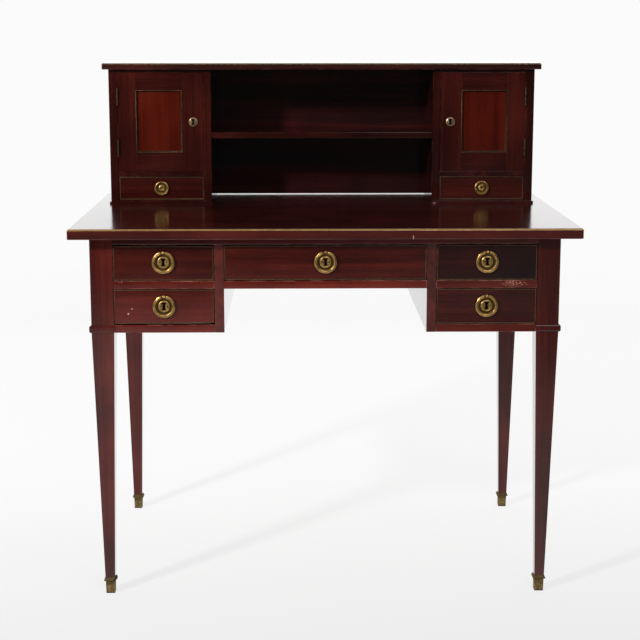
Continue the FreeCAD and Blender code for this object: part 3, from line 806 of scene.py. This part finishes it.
# for each angle from upright, how far a ray from the middle runs before it meets the outline
def rayReach(outline, turn):
    along = np.roll(outline, -1, axis=0) - outline
    ray = np.stack([np.sin(turn), np.cos(turn)], axis=-1)[:, None, :]
    across = cross(ray, along)
    across = np.where(np.abs(across) < 1e-12, 1e-12, across)
    reach = cross(outline, along) / across
    share = cross(outline, ray) / across
    hit = (share >= 0) & (share <= 1) & (reach > 0)
    return np.where(hit, reach, np.inf).min(axis=1)


# half outlines of the keyholes from top to foot: a wide bar, a narrow waist and a flared foot, in mm
keyholes = {
    "large": ((4.3, 7.6), (5.1, 6.6), (4.7, 5), (2.6, 3.5), (2, 0.7), (2.7, -3.8), (4, -7.3)),
    "door": ((2.1, 6.1), (3.6, 4.6), (3.2, 2.6), (2.1, 1.4), (2, 0), (3, -5.9)),
}
# stations of rosettes from the hole outwards: (radius, height, hollow), in mm
rosettes = {
    "large": (
        (0, 0, 1), (0, 4, 1), (0.4, 4.55, 0.55), (5, 4.85, 0.05),
        (9.4, 5, 0), (10.7, 4.85, 0), (11.55, 4.35, 0), (11.95, 3.5, 0.2),
        (12.1, 2.4, 0.6), (12.7, 1.5, 0.78), (14.6, 1.15, 0.66), (16.4, 1.2, 0.52),
        (18.6, 1.55, 0.5), (19.8, 1.55, 0.35), (20.35, 1.15, 0.25), (20.5, 0.5, 0.4),
        (20.5, 0, 0.9),
    ),
    # the door plate's rim has hollows below 0, which take its tarnish away: a painted highlight along
    # the rim
    "door": (
        (0, 0, 1), (0, 1.8, 1), (0.35, 2.15, 0.5), (7.1, 2.25, 0.58),
        (7.45, 2, 0.68), (7.7, 1.45, 0.85), (7.95, 2.15, -0.3), (8.25, 2.35, -0.6),
        (9.5, 1.8, -0.6), (9.8, 1.3, -0.2), (9.9, 0.6, 0.35), (9.9, 0, 0.9),
    ),
    "pin": (
        (0, 0.75, 0.75), (0.8, 0.65, 0.75), (1.35, 0.35, 0.8), (1.6, -0.1, 0.95),
        (1.6, -0.4, 0.95), (0, -0.4, 0.95),
    ),
    "small": (
        (0, 3.4, 0.5), (2.4, 3.45, 0.5), (4.2, 3.8, 0.35), (5.3, 4.2, 0),
        (6.2, 4.05, 0), (7.2, 3.2, 0.1), (7.6, 2.45, 0.3), (7.75, 1.8, 0.65),
        (8.2, 1.25, 0.75), (9.4, 0.95, 0.65), (11, 1.05, 0.55), (12.8, 1.45, 0.55),
        (13.7, 1.4, 0.3), (14.15, 0.95, 0.25), (14.25, 0, 0.9), (0, 0, 1),
    ),
}
# painted shadow: near-black iron plates behind the holes stand in for the shade inside the lock, so that
# the eye meets them and not bare wood
for kind, reach in (("largeShadowPlate", 8.6), ("doorShadowPlate", 7.3)):
    rosettes[kind] = ((0, 0.24, 1), (reach, 0.24, 1), (reach, 0.12, 1), (0, 0.12, 1))
# how much of the hole's outline the first stations have, with the radius as a margin; the rest are round
holeShares = {"large": (1, 1, 1, 0.5), "door": (1, 1, 1)}
rosetteSides = {"large": 120, "door": 120, "pin": 24, "small": 120, "largeShadowPlate": 40, "doorShadowPlate": 40}


# the stations' rings about an axis that comes straight out of the face, towards the sitter
def rosetteGrid(middle, face, kind):
    turn = fullTurn(rosetteSides[kind])
    radius, height, hollow = (column[:, None] for column in np.array(rosettes[kind]).T)
    reach = np.repeat(radius, len(turn), axis=1)
    if kind in keyholes:
        right = np.array(keyholes[kind])
        hole = rayReach(np.vstack([right, right[::-1] * (-1, 1)]), turn)
        reach[:len(holeShares[kind])] += np.outer(holeShares[kind], hole)
    x = middle[0] + reach * mm * np.sin(turn)
    z = middle[1] + reach * mm * np.cos(turn)
    return gridOf(x, face - height * mm, z, hollow, kind in keyholes)


# section, half gap at the eye and length of the domed tips, in mm; how deep the groove is and where it
# runs, as shares of the section and of a half turn from the outside over the front
ringLook = {
    "large": {"width": 6.4, "depth": 5.2, "gap": 4, "tip": 2.6, "groove": 0.15, "at": 0.45},
    "small": {"width": 4.1, "depth": 3.8, "gap": 3.5, "tip": 2.2, "groove": 0.05, "at": 0.6},
}
# how wide the groove is, and the dirt in it, all over, and inside and behind from a share of a half turn
ringDirt = {"wide": 0.15, "groove": 1.2, "all": -0.15, "inside": 0.55, "insideFrom": 0.68}
ringPoints = {"dome": 9, "between": 92, "sides": 64}


# an oval section carried round a circle from one side of the eye to the other; towards each end the
# section shrinks as a dome does, and a shallow groove runs round the front
def hoopGrid(middle, y, outer, look):
    mean = outer - look["width"] * mm / 2
    stop = math.asin(look["gap"] * mm / mean)
    tip = look["tip"] * mm / mean
    dome = tip * (1 - np.cos(np.linspace(0, math.pi / 2, ringPoints["dome"])))
    whole = 2 * math.pi - 2 * stop
    between = np.linspace(tip, whole - tip, ringPoints["between"])[1:-1]
    run = np.concatenate([dome, between, whole - dome[::-1]])
    left = np.minimum(run, run[-1] - run)
    scale = np.sqrt(np.clip(1 - np.clip(1 - left / tip, 0, 1) ** 2, 0, 1))[:, None]
    turn = (stop + run)[:, None]
    around = fullTurn(ringPoints["sides"])[None, :]
    groove = np.exp(-(((around - look["at"] * math.pi) / ringDirt["wide"]) ** 2))
    dip = 1 - look["groove"] * groove
    reach = mean + scale * dip * np.cos(around) * look["width"] * mm / 2
    depth = scale * dip * np.sin(around) * look["depth"] * mm / 2
    x = middle[0] + reach * np.sin(turn)
    z = middle[1] + reach * np.cos(turn)
    inside = around > ringDirt["insideFrom"] * math.pi
    hollow = ringDirt["groove"] * groove + ringDirt["all"] + ringDirt["inside"] * inside
    return gridOf(x, y - depth, z, hollow)


pinLook = {"half": 5.4 * mm, "radius": 1.1 * mm, "hollow": 0.3, "rows": 12, "sides": 20}


# a round bar along x with domed ends: a circle carried along, its radius closing at both ends
def pinGrid(middle):
    half, radius = pinLook["half"], pinLook["radius"]
    lean = np.linspace(-math.pi / 2, math.pi / 2, pinLook["rows"])
    x = np.sign(np.sin(lean)) * (half - radius) + radius * np.sin(lean)
    turn = fullTurn(pinLook["sides"])[None, :]
    reach = radius * np.cos(lean)[:, None]
    y = middle[1] + reach * np.cos(turn)
    z = middle[2] + reach * np.sin(turn)
    return gridOf(middle[0] + x[:, None], y, z, pinLook["hollow"])


eyeLook = {
    "half": 2.5 * mm,
    "back": 1.2 * mm,  # where it ends in front of the drawer's face
    "neck": 0.85,  # half height of its neck, as a share of its radius
    # rounded cheeks, as shares of the radius and of the half width
    "share": (0, 0.8, 0.95, 1, 1, 0.95, 0.8, 0),
    "across": (-1, -1, -0.93, -0.8, 0.8, 0.93, 1, 1),
    "hollow": 0.15,
    "sides": 48,
}


# the eye: an outline, round in front and straight back to the plate, carried across the eye's width
def eyeGrid(middle, radius, face):
    turn = fullTurn(eyeLook["sides"])
    ahead, up = np.cos(turn), np.sin(turn)
    back = (face - eyeLook["back"] - middle[1]) / np.maximum(ahead, 1e-9)
    neck = np.minimum(back, eyeLook["neck"] * radius / np.maximum(np.abs(up), 1e-9))
    reach = np.where(ahead > 0, np.maximum(radius, neck), radius)[None, :]
    share = np.array(eyeLook["share"])[:, None]
    x = np.array(eyeLook["across"])[:, None] * eyeLook["half"]
    y = middle[1] + share * reach * ahead
    z = middle[2] + share * reach * up
    return gridOf(middle[0] + x, y, z, eyeLook["hollow"])


# pins beside the keyhole, in mm from the plate's middle: across, up and out
platePins = {"large": ((-6.9, 0.8, 4.9), (6.9, 0.8, 4.9)), "small": ()}


def ringPull(drawer, kind, plateNode):
    ringNode = drawer + "_drawer_ring"
    low, high = nodeBox(ringNode)
    outer = (high[0] - low[0]) / 2
    middle = ((low[0] + high[0]) / 2, low[2] + outer)
    ringY = (low[1] + high[1]) / 2
    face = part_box(drawer + "_drawer_front")[0][1]
    wire = high[1] - low[1]
    eye = (middle[0], ringY, middle[1] + outer - wire / 2)
    plate = [rosetteGrid(middle, face, kind), eyeGrid(eye, wire / 2, face)]
    for place in platePins[kind]:
        spot = (middle[0] + place[0] * mm, middle[1] + place[1] * mm)
        plate.append(rosetteGrid(spot, face - place[2] * mm, "pin"))
    gridPiece(drawer + "_rosette", plate, "brass", plateNode, True)
    ring = [hoopGrid(middle, ringY, outer, ringLook[kind]), pinGrid(eye)]
    gridPiece(drawer + "_ring", ring, "brass", ringNode, True)
    return middle, face


# a near-black plate behind the keyhole, a painted shadow for the shade inside the lock, and the lock's
# case behind the face
def shadowPlateAndCase(owner, kind, lockNode, middle, face):
    gridPiece(owner + "_shadow_plate", [rosetteGrid(middle, face, kind + "ShadowPlate")], "throatPaintedShadow", lockNode)
    easedPiece(lockNode, "iron", "lockArris", behind=face, name=owner + "_lock_case")


for drawer in largeDrawers:
    lockNode = drawer + "_drawer_lock"
    middle, face = ringPull(drawer, "large", lockNode)
    shadowPlateAndCase(drawer, "large", lockNode, middle, face)
for drawer in smallDrawers:
    ringPull(drawer, "small", drawer + "_drawer_pull")
for door in doors:
    lockNode = door + "_door_lock"
    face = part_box(door + "_door_frame")[0][1]
    points = nodePoints(lockNode)
    plate = points[points[:, 1] < face - boardLook["past"]][:, [0, 2]]
    middle = boxMiddle(plate)
    gridPiece(door + "_escutcheon", [rosetteGrid(middle, face, "door")], "plateBrassAndSheen", lockNode, True)
    shadowPlateAndCase(door, "door", lockNode, middle, face)
print("pulls and keyhole plates made")


# a profile carried round a rectangle: at each corner it moves in along the diagonal; run is the distance
# in from the edge and rise the height above the face, both in mm; lean lifts the foot's right end
def frameGrid(low, high, face, profile, lean=0):
    run, rise, hollow = np.array(profile).T
    side = np.array([(-1, -1), (1, -1), (1, 1), (-1, 1)])
    edge = np.array([(low[0], low[2]), (high[0], low[2]), (high[0], high[2]), (low[0], high[2])])
    edge[:2, 1] += np.array([-0.5, 0.5]) * lean * mm
    flat = edge[:, None, :] - side[:, None, :] * run[None, :, None] * mm
    return gridOf(flat[..., 0], face - rise * mm, flat[..., 1], hollow, True)


# half-round bead along a drawer's edge: (run, rise, hollow)
beadProfile = (
    (0.05, -0.3, 1.3), (0.05, 0.3, 1.3), (0.3, 0.72, 0.9), (0.8, 0.95, 0),
    (1.3, 0.82, 0), (1.75, 0.4, 0.3), (1.95, 0, 0.9), (1.95, -0.3, 0.9),
)
# bead and cove that hold a door panel, from the frame's edge inwards
mouldingProfile = (
    (0, -0.2, 0.9), (0, 5.1, 0.4), (0.35, 5.6, 0), (1, 5.85, 0),
    (1.65, 5.55, 0), (2, 4.8, 0.2), (2.15, 3.6, 0.8), (2.6, 2.2, 0.7),
    (3.3, 1.2, 0.5), (3.9, 0.8, 0.4), (4, -0.2, 0.9),
)
frameSharp = 50  # degrees
for drawer in drawers:
    node = drawer + "_drawer_front"
    low, high = nodeBox(node)
    foot, head, lean = shrunkFronts.get(drawer, tightFront)
    low[2] += foot * mm
    high[2] -= head * mm
    bead = [frameGrid(low, high, low[1], beadProfile, lean)]
    gridPiece(drawer + "_bead", bead, "beadBrass", node, sharpAngle=frameSharp)
panelTongue = 5 * mm  # how far a door panel reaches into its frame
for door in doors:
    node = door + "_door_panel"
    low, high = nodeBox(node)
    moulding = [frameGrid(low + panelTongue, high - panelTongue, low[1], mouldingProfile)]
    gridPiece(door + "_moulding", moulding, "mouldingBrass", node, sharpAngle=frameSharp)
print("beads and mouldings laid")


# toe caps: (height, half width, hollow) from the floor to the rim under the leg, in mm
toeCapLook = {
    # the hollow near 1 just under the rim darkens a band there: dirt in the crease, and painted shade of
    # the rim's shadow
    "stations": (
        (0, 0, 0.9), (0, 8.55, 0.9), (0.5, 9, 0.9), (1.9, 9.08, 0.9),
        (2.6, 9.1, 0.1), (12, 9.32, 0), (26.1, 9.64, 0.3), (27.1, 9.7, 0.95),
        (27.3, 12.6, 0.7), (27.8, 13.08, 0.45), (28.8, 12.8, 0.4), (33, 10.4, 0.45),
        (33.5, 10.1, 0.5), (33.6, 9, 0.9), (33.6, 0, 0.9),
    ),
    "corner": 1,  # radius of the upright corners
    "bent": (1, -1),  # the corner of the front left cap's rim that was knocked upwards
    "bentRise": 15,
    "bentReach": 9.5,
    "bentOut": 2.4,
    "bentPower": 1.5,
    "bentHollow": 0.5,
    "rim": (27.2, 10),  # above this height and outside this half width
    "cornerPoints": 6,  # in each corner
    "sidePoints": 8,  # between two corners
    "sharp": 35,  # degrees
}


# a square with rounded corners, and points along its sides, carried up the stations; the bent corner
# lifts with its nearness
def toeCapGrid(middle, bent):
    look = toeCapLook
    height, half, hollow = (column[:, None] for column in np.array(look["stations"]).T)
    count = look["cornerPoints"]
    corner = np.repeat([(1, 1), (-1, 1), (-1, -1), (1, -1), (1, 1)], count, axis=0)
    turn = np.radians(np.linspace(0, 90, count)[None, :] + 90 * np.arange(5)[:, None]).ravel()
    side = np.linspace(0, 1, look["sidePoints"] + 2)[1:-1]
    step = np.concatenate([np.arange(count), count - 1 + side])
    step = (step[None, :] + count * np.arange(4)[:, None]).ravel()
    radius = np.minimum(look["corner"], half)
    lower = np.floor(step).astype(int)
    share = step - lower
    outlines = [
        (half - radius) * corner[:, 0] + radius * np.cos(turn),
        (half - radius) * corner[:, 1] + radius * np.sin(turn),
    ]
    x, y = (line[:, lower] * (1 - share) + line[:, lower + 1] * share for line in outlines)
    z = height
    if bent:
        across, deep = look["bent"]
        reach = half.max()
        away = np.hypot(x - across * reach, y - deep * reach)
        rim = (height > look["rim"][0]) & (half > look["rim"][1])
        near = np.clip(1 - away / look["bentReach"], 0, 1) * rim
        z = z + look["bentRise"] * near ** look["bentPower"]
        x = x + look["bentOut"] * across * near
        y = y + look["bentOut"] * deep * near
        hollow = hollow + look["bentHollow"] * near
    return gridOf(middle[0] + x * mm, middle[1] + y * mm, z * mm, hollow)


toePoints = nodePoints("leg_sabots")
toeCaps = []
for sideways in (-1, 1):
    for deep in (-1, 1):
        mine = toePoints[(toePoints[:, 0] * sideways > 0) & (toePoints[:, 1] * deep > 0)]
        toeCaps.append(toeCapGrid(boxMiddle(mine), (sideways, deep) == (-1, -1)))
gridPiece("toe_caps", toeCaps, "toeBrass", "leg_sabots", True, toeCapLook["sharp"])
print("toe caps made")


screwLook = {
    "radius": 2.4,
    "proud": 0.12,
    "slot": 0.42,
    "deep": 0.5,
    "places": ((-2.2, -12.5), (2.2, 0), (-2.2, 12.5)),  # from the leaf's middle, deep and up
    "rings": 9,
    "sides": 48,
}


# a countersunk head: a flat dome over radius and angle, with a slot where the distance from the slot's
# line is small; facing is the way it looks along x
def screwGrid(middle, facing, slotTurn):
    look = screwLook
    radius = np.linspace(0, look["radius"], look["rings"])[:, None]
    turn = fullTurn(look["sides"])[None, :]
    away = radius * np.sin(turn - slotTurn)
    slot = np.exp(-((away / look["slot"]) ** 4))
    rim = 1 - (radius / look["radius"]) ** 6
    rise = look["proud"] * rim - look["deep"] * slot * rim
    y = middle[1] + radius * np.cos(turn) * mm
    z = middle[2] + radius * np.sin(turn) * mm
    return gridOf(middle[0] + facing * rise * mm, y, z, slot)


# three screws in each leaf, set in a shallow zigzag; the slots stop at chance angles
def leafScrews(leaf, facing):
    x = facing * (facing * leaf[:, 0]).max()
    y, z = boxMiddle(leaf)[1:]
    return [
        screwGrid((x, y + deep * mm, z + up * mm), facing, random.uniform(0, math.pi))
        for deep, up in screwLook["places"]
    ]


for door, outward in (("left", -1), ("right", 1)):
    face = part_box(door + "_door_frame")[0][1]
    for node, facing, name in (
        (door + "_door_hinge_leaves", outward, door + "_door_screws"),
        ("hinge_end_leaves", -outward, door + "_end_screws"),
    ):
        points = nodePoints(node)
        seat = points[(points[:, 0] * outward > 0) & (points[:, 1] > face - boardLook["touch"])]
        halfway = boxMiddle(seat)[2]
        screws = leafScrews(seat[seat[:, 2] < halfway], facing)
        screws += leafScrews(seat[seat[:, 2] > halfway], facing)
        gridPiece(name, screws, "hingeBrass", node)
print("hinges screwed on")


# Dovetails: the drawer sides' tails, seen in the ends of the fronts

# width at both ends as shares of the pitch, the rest in mm
dovetailLook = {"pitch": 22, "blind": 5, "width": (0.46, 0.66), "out": (-0.5, 0.06)}


# a trapezium that widens towards the drawer's face, as a thin plate just proud of the front's end
def tailGrid(x, facing, back, tip, middle, pitch):
    z = middle + np.array([-1, 1, 1, -1]) * np.repeat(dovetailLook["width"], 2) * pitch / 2
    y = np.repeat([back, tip], 2)
    share = np.array([0, 1, 1, 0])[:, None]
    out = np.repeat(dovetailLook["out"], 2)[:, None]
    centre = (back + tip) / 2
    return gridOf(x + facing * out * mm, centre + share * (y - centre), middle + share * (z - middle))


for drawer in drawers:
    node = drawer + "_drawer_front"
    low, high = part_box(node)
    sideLow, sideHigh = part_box(drawer + "_drawer_box")
    bottom, top = max(low[2], sideLow[2]), sideHigh[2]
    count = max(2, round((top - bottom) / (dovetailLook["pitch"] * mm)))
    pitch = (top - bottom) / count
    tip = low[1] + dovetailLook["blind"] * mm
    tails = []
    for tail in range(count):
        middle = bottom + (tail + 0.5) * pitch
        for x, facing in ((low[0], -1), (high[0], 1)):
            tails.append(tailGrid(x, facing, high[1], tip, middle, pitch))
    mesh = gridMesh(drawer + "_dovetails", tails)
    setAttribute(mesh, "grain", meshPoints(mesh)[:, [1, 2, 0]])  # along the drawer's sides
    addPiece(mesh, drawer + "_dovetails", "lining", node)
print("dovetails cut")


# Stage: pale floor that fades into a white surround, soft lamps and the camera

white = 0.965  # radiance of the surround and of the floor as the camera sees them
surroundLook = {
    "front": 0.04,  # towards the sitter
    "low": 0.065,  # below that on the left
    "right": 0.17,  # and on the right
    "lowest": 0.42,  # further below
    "back": 1,  # behind the desk
    "above": 0.45,  # overhead
    # where one turns into the next, as shares of a ray's way to the right, to the back, down or up
    "rightFrom": (0, 0.14),
    "backFrom": (-0.15, 0.55),
    "lowFrom": (0.06, 0.15),
    "lowestFrom": (0.15, 0.19),
    "aboveFrom": (0.35, 0.9),
}


def lightPaths(wire):
    kinds = ("Is Camera Ray", "Is Glossy Ray", "Is Transmission Ray")
    return [wire.node("ShaderNodeLightPath", {}, kind) for kind in kinds]


# all white for the camera, and for gloss and glass where they face the wall behind the desk
def studioWorld():
    world = bpy.data.worlds.new("studio")
    bpy.context.scene.world = world
    world.use_nodes = True
    world.node_tree.nodes.clear()
    wire = Wire(world.node_tree)
    look = surroundLook
    direction = wire.coordinate("Generated")
    upwards = direction.axis("Z")
    downwards = 0 - upwards
    low = look["low"] + direction.axis("X").step(*look["rightFrom"]) * (look["right"] - look["low"])
    level = look["front"] + downwards.step(*look["lowFrom"]) * (low - look["front"])
    level = level + downwards.step(*look["lowestFrom"]) * (look["lowest"] - level)
    behind = direction.axis("Y").step(*look["backFrom"])
    level = level + behind * (look["back"] - level)
    overhead = upwards.step(*look["aboveFrom"])
    level = level + overhead * (look["above"] - level)
    direct, mirrored, through = lightPaths(wire)
    seen = direct + (mirrored + through) * behind * (1 - overhead)
    strength = level + seen * (white - level)
    shader = wire.node("ShaderNodeBackground", {"Color": (1, 1, 1, 1), "Strength": strength})
    output(wire, shader, "ShaderNodeOutputWorld")


floorLook = {
    "rings": 13,
    "sides": 64,
    "nearWhite": 0.79,  # radiance at the sitter's feet
    "near": (-1, 1.2),  # metres towards the sitter over which white turns into it
    "glow": 0.82,  # share of the floor's white that shadows can't take away
    "lift": 1.045,  # makes up for what the lamps leave out
    "fade": (2.2, 4.8),  # metres from the desk over which the floor goes over into the surround
    "mirror": (1, 4.15),  # metres towards the sitter over which polished wood loses sight of the floor
    "mirrorSlant": 1,  # sooner on the right
}


# rings of the disc run from its rim to its middle, one turn each
def paleFloor():
    look = floorLook
    radius = np.linspace(look["fade"][1], 0, look["rings"])[:, None]
    turn = fullTurn(look["sides"])[None, :]
    mesh = gridMesh("floor", [gridOf(radius * np.cos(turn), radius * np.sin(turn), 0)])
    floor = addObject("floor", mesh)
    material, wire = newMaterial("floor")
    place = wire.coordinate()
    forward = 0 - place.axis("Y")
    shown = forward.step(*look["near"]).blend((white,) * 3, (look["nearWhite"],) * 3)
    direct, mirrored, through = lightPaths(wire)
    unseen = forward + place.axis("X") * look["mirrorSlant"]
    lost = mirrored * unseen.step(*look["mirror"])
    lit = wire.node("ShaderNodeBsdfDiffuse", {"Color": shown})
    glowColour = lost.blend(shown, (0, 0, 0))
    glow = wire.node("ShaderNodeEmission", {"Color": glowColour, "Strength": look["lift"]})
    clear = wire.node("ShaderNodeBsdfTransparent", {})
    glowing = direct * look["glow"] + mirrored + through
    ground = wire.node("ShaderNodeMixShader", {0: glowing, 1: lit, 2: glow})
    fade = place.length().step(*look["fade"])
    output(wire, wire.node("ShaderNodeMixShader", {0: fade, 1: ground, 2: clear}))
    mesh.materials.append(material)


lamps = {
    "key": {"at": (-2.75, -2.95, 2.5), "aim": (0, 0, 0.7), "size": (0.35, 0.35), "power": 155},
    "fill": {"at": (1.2, -3.3, 2.8), "aim": (0, 0, 0.6), "size": (2, 1.4), "power": 42},
    "back": {"at": (0, 2.6, 1.25), "aim": (0, 0, 0.76), "size": (5.8, 1.2), "power": 15},
}


def addLamps():
    for name, lamp in lamps.items():
        light = bpy.data.lights.new(name, "AREA")
        light.shape = "RECTANGLE"
        light.size, light.size_y = lamp["size"]
        light.energy = lamp["power"]
        holder = addObject(name, light)
        holder.location = lamp["at"]
        aim = np.subtract(lamp["aim"], lamp["at"])
        flat = math.hypot(aim[0], aim[1])
        holder.rotation_euler = (math.atan2(flat, -aim[2]), 0, math.atan2(-aim[0], aim[1]))
        holder.visible_camera = False


cameraLook = {
    "at": (-0.0601, -3.2777, 1.141),
    "down": 10.769,  # degrees below level
    "right": 0.944,  # degrees to the right of straight ahead
    "focal": 1529.6,  # in pixels
    "picture": 640,  # width in pixels
    "sensor": 36,
}


def addCamera():
    lens = bpy.data.cameras.new("camera")
    lens.sensor_width = cameraLook["sensor"]
    lens.lens = cameraLook["focal"] * cameraLook["sensor"] / cameraLook["picture"]
    camera = addObject("camera", lens)
    camera.location = cameraLook["at"]
    tilt = math.radians(90 - cameraLook["down"])
    camera.rotation_euler = (tilt, 0, -math.radians(cameraLook["right"]))
    bpy.context.scene.camera = camera


studioWorld()
paleFloor()
addLamps()
addCamera()
bpy.context.scene.view_settings.view_transform = "Standard"
print("stage set")
